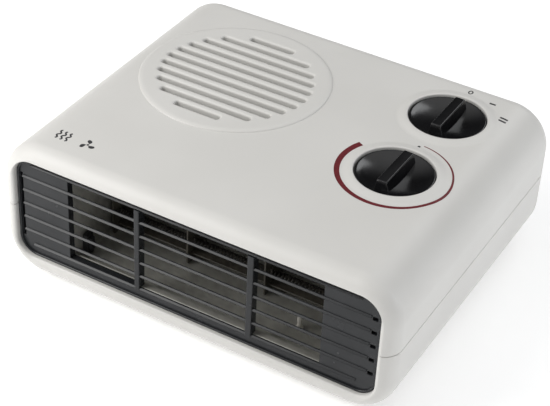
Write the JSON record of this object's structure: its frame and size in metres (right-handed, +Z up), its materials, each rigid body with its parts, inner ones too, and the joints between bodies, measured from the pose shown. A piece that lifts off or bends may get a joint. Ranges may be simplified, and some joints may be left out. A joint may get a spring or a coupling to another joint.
{
  "type": "fan convector heater",
  "caption": "Flat free-standing fan heater with a slotted round intake on top, a louvred front outlet and rotary selector and thermostat knobs.",
  "frame": {"origin": "middle of the footprint, on the surface that the four feet stand on", "axes": "+X to the right along the width, -Y towards the air outlet at the front, +Z up"},
  "size_m": [0.26, 0.2126, 0.0987],
  "materials": {
    "white_plastic": "satin moulded ABS, off-white",
    "dark_plastic": "satin moulded, dark blue-grey",
    "knob_plastic": "polished black",
    "black_plastic": "moulded, black",
    "galvanised_steel": "bright zinc-coated sheet",
    "steel": "zinc plated",
    "laminations": "stacked electrical steel",
    "copper_winding": "varnished copper wire",
    "bronze": "sintered bronze",
    "mica": "pressed mica sheet",
    "resistance_wire": "oxidised resistance wire",
    "ceramic": "unglazed ceramic",
    "control_housing": "heat-resistant moulding, cream",
    "rubber": "matt black rubber",
    "brown_sleeve": "brown insulation",
    "blue_sleeve": "blue insulation",
    "white_sleeve": "white insulation",
    "red_print": "dark red printing on the case",
    "grey_print": "dark grey printing on the case"
  },
  "bodies": {
    "casing": {"upper_shell": "white_plastic", "lower_shell": "white_plastic", "outlet_grille": "dark_plastic", "cord_gland": "black_plastic", "fan_scroll": "black_plastic", "scroll_cover": "black_plastic", "thermal_cutout": "black_plastic", "outlet_duct": "galvanised_steel", "control_bracket": "galvanised_steel", "case_screw_front_left": "steel", "case_screw_front_right": "steel", "case_screw_rear_left": "steel", "case_screw_rear_right": "steel", "upper_bearing_bracket": "steel", "lower_bearing_bracket": "steel", "motor_screw_left": "steel", "motor_screw_right": "steel", "bracket_screw_front": "steel", "bracket_screw_rear": "steel", "selector_nut": "steel", "thermostat_nut": "steel", "stator_core": "laminations", "motor_coil": "copper_winding", "upper_bearing": "bronze", "lower_bearing": "bronze", "element_frame": "mica", "heating_coil_1": "resistance_wire", "heating_coil_2": "resistance_wire", "heating_coil_3": "resistance_wire", "heating_coil_4": "resistance_wire", "heating_coil_5": "resistance_wire", "heating_coil_6": "resistance_wire", "thermal_fuse": "ceramic", "terminal_block": "ceramic", "selector_body": "control_housing", "thermostat_body": "control_housing", "foot_front_left": "rubber", "foot_front_right": "rubber", "foot_rear_left": "rubber", "foot_rear_right": "rubber", "wire_live": "brown_sleeve", "wire_motor_live": "brown_sleeve", "wire_element_live": "brown_sleeve", "wire_neutral_element": "blue_sleeve", "wire_neutral_motor": "blue_sleeve", "wire_thermostat": "white_sleeve"},
    "selector_dial": {"selector_knob": "knob_plastic", "selector_spindle": "steel"},
    "thermostat_dial": {"thermostat_knob": "knob_plastic", "thermostat_spindle": "steel"},
    "fan": {"impeller": "black_plastic", "impeller_clip": "steel", "motor_shaft": "steel", "rotor": "laminations"}
  },
  "joints": [
    {"name": "selector_turn", "type": "hinge", "parent": "casing", "child": "selector_dial", "pos_m": [0.078, 0.0595, 0.094], "axis": [0, 0, 1], "range_deg": [-60, 0]},
    {"name": "thermostat_turn", "type": "hinge", "parent": "casing", "child": "thermostat_dial", "pos_m": [0.0773, -0.0088, 0.094], "axis": [0, 0, 1], "range_deg": [-295, 0]},
    {"name": "fan_spin", "type": "hinge", "parent": "casing", "child": "fan", "pos_m": [-0.05, 0.026, 0.06], "axis": [0, 0, 1], "continuous": true}
  ]
}
